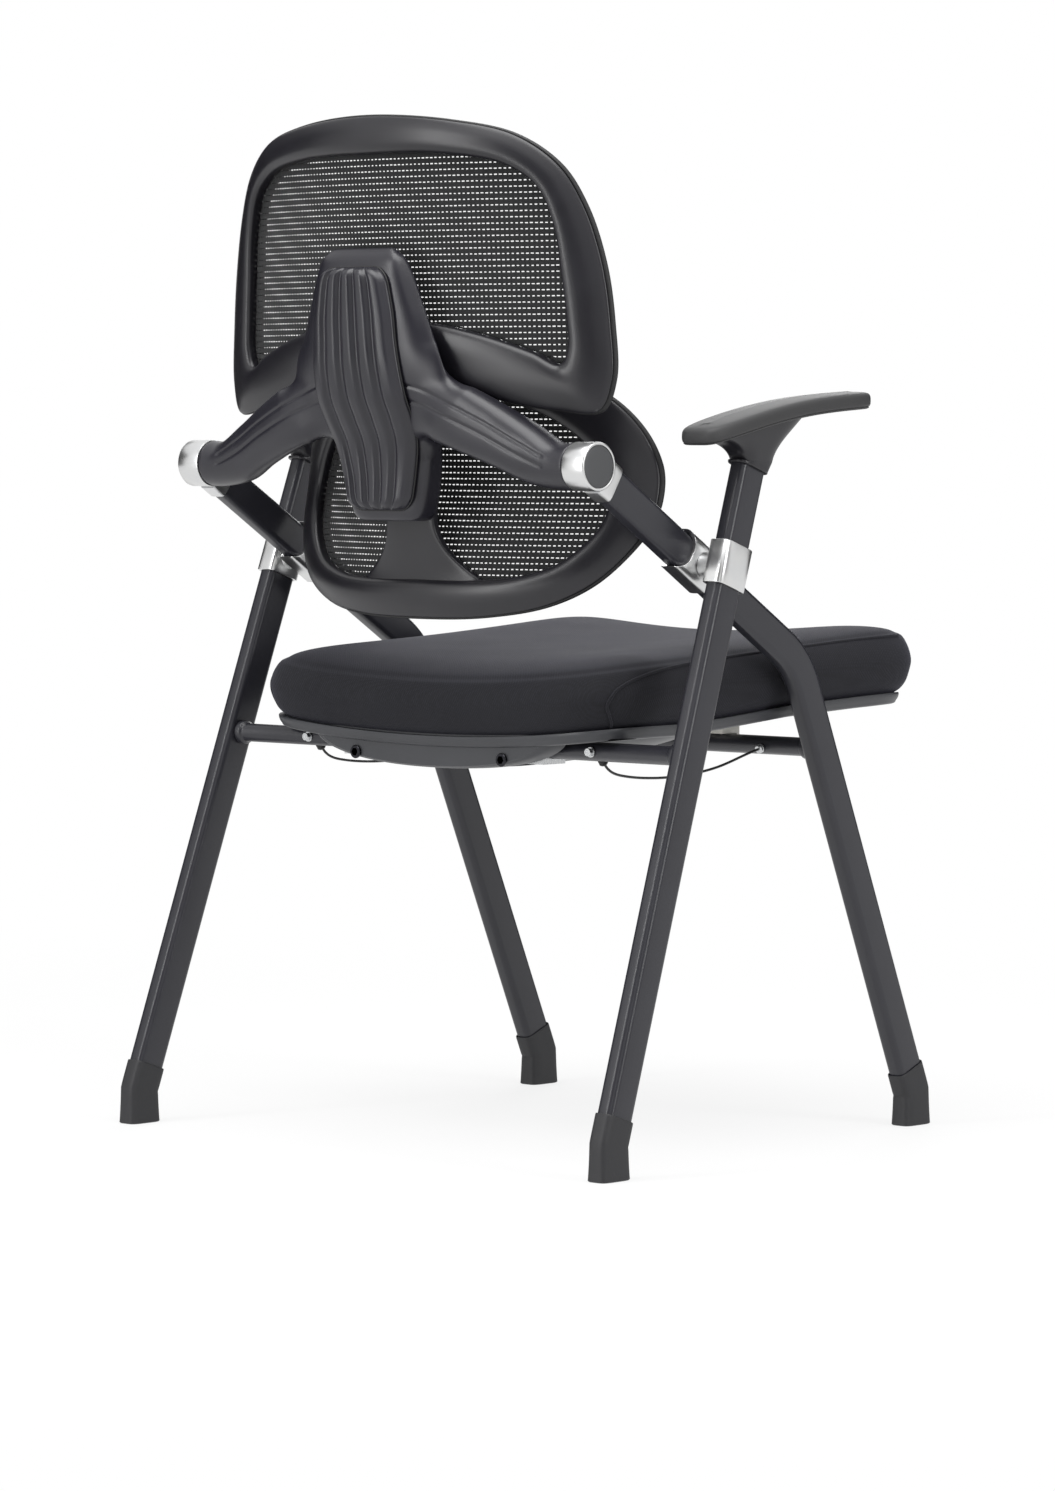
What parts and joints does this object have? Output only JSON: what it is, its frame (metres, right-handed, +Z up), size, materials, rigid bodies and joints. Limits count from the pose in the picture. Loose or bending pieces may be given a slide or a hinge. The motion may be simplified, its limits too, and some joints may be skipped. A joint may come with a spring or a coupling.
{
  "type": "nesting chair",
  "caption": "Office visitor chair with crossed folding leg frames, flip-up padded seat, arm pads and a sprung mesh back in an upper and a lower frame.",
  "frame": {"origin": "on the floor under the middle of the chair's bounding box", "axes": "+X to the sitter's left, -Y to the front of the chair, +Z up"},
  "size_m": [0.6668, 0.5824, 0.976],
  "materials": {
    "tube": "satin powder coat",
    "chrome": "polished",
    "frame": "satin",
    "trim": "matt",
    "mesh": "woven mesh",
    "fabric": "woven",
    "pan": "fine grain",
    "pad": "soft touch",
    "foot": "matt",
    "steel": "zinc plated",
    "rope": "coated wire",
    "bush": "bearing plastic"
  },
  "bodies": {
    "rear_frame": {"rear_crossbar": "tube", "rear_leg_left": "tube", "rear_leg_right": "tube", "rear_foot_left": "foot", "rear_foot_right": "foot", "leg_clamp_left": "chrome", "leg_clamp_right": "chrome", "pivot_pin_left": "steel", "pivot_pin_right": "steel", "arm_bracket_left": "frame", "arm_bracket_right": "frame", "arm_pad_left": "pad", "arm_pad_right": "pad", "rope_ferrule_rear_left": "trim", "rope_ferrule_rear_right": "trim", "rope_nut_left": "steel", "rope_nut_right": "steel", "safety_rope_left": "rope", "safety_rope_right": "rope"},
    "front_frame": {"front_crossbar": "tube", "front_leg_left": "tube", "front_leg_right": "tube", "front_foot_left": "foot", "front_foot_right": "foot", "pivot_socket_left": "chrome", "pivot_socket_right": "chrome", "hub_ring_left": "chrome", "hub_ring_right": "chrome", "hub_cap_left": "trim", "hub_cap_right": "trim", "hub_axle_left": "steel", "hub_axle_right": "steel", "rope_ferrule_front_left": "steel", "rope_ferrule_front_right": "steel"},
    "backrest": {"back_yoke": "frame", "yoke_cover": "frame", "upper_back_frame": "frame", "lower_back_frame": "frame", "upper_front_trim": "trim", "lower_front_trim": "trim", "upper_mesh": "mesh", "lower_mesh": "mesh", "tilt_bush_left": "bush", "tilt_bush_right": "bush"},
    "seat": {"seat_cushion": "fabric", "seat_pan": "pan", "seat_hinge_bracket_left": "steel", "seat_hinge_bracket_right": "steel", "seat_rest_left": "bush", "seat_rest_right": "bush", "seat_bolt_left": "steel", "seat_bolt_right": "steel"}
  },
  "joints": [
    {"name": "frame_fold", "type": "hinge", "parent": "rear_frame", "child": "front_frame", "pos_m": [0, 0.0855, 0.5553], "axis": [1, 0, 0], "range_deg": [0, 42], "deforming": ["safety_rope_left", "safety_rope_right"]},
    {"name": "back_tilt", "type": "hinge", "parent": "front_frame", "child": "backrest", "pos_m": [0, 0.2319, 0.6488], "axis": [-1, 0, 0], "range_deg": [0, 8], "stiffness_Nm_per_rad": 150, "springref_deg": -2.86},
    {"name": "seat_flip", "type": "hinge", "parent": "rear_frame", "child": "seat", "pos_m": [0, 0.1462, 0.381], "axis": [-1, 0, 0], "range_deg": [0, 40]}
  ]
}
